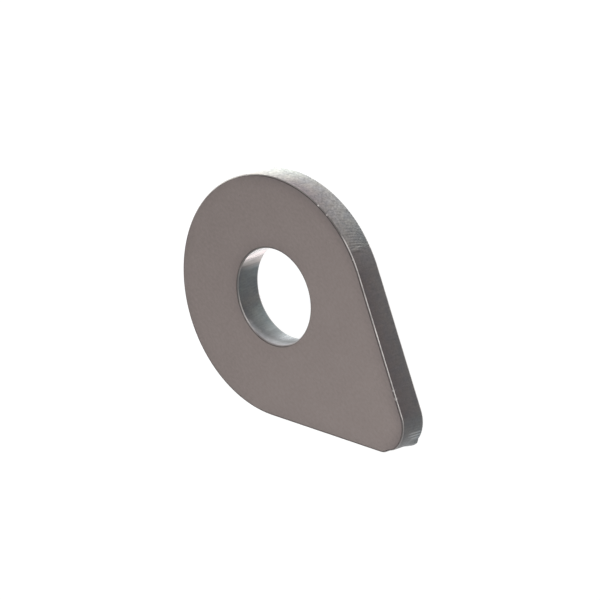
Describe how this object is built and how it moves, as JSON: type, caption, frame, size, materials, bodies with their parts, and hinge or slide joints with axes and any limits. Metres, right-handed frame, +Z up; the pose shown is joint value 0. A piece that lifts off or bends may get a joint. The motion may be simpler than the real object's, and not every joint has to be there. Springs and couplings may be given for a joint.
{
  "type": "weld washer",
  "caption": "Teardrop weld washer cut from steel plate, with a round bolt hole in its head, straight flanks to a small round tip, and lightly rounded edges.",
  "frame": {"origin": "middle of the box round the washer's footprint, on its underside", "axes": "+X along the length, from the round head to the tip; +Z up through the plate's thickness, from the underside to the top face. The bolt hole's axis runs along Z, through x = -0.00608 m, y = 0"},
  "size_m": [0.0502, 0.038, 0.0046],
  "materials": {
    "mild_steel": "satin, pickled hot-rolled plate with laser-cut edges"
  },
  "bodies": {
    "root": {"weld_washer": "mild_steel"}
  },
  "joints": []
}
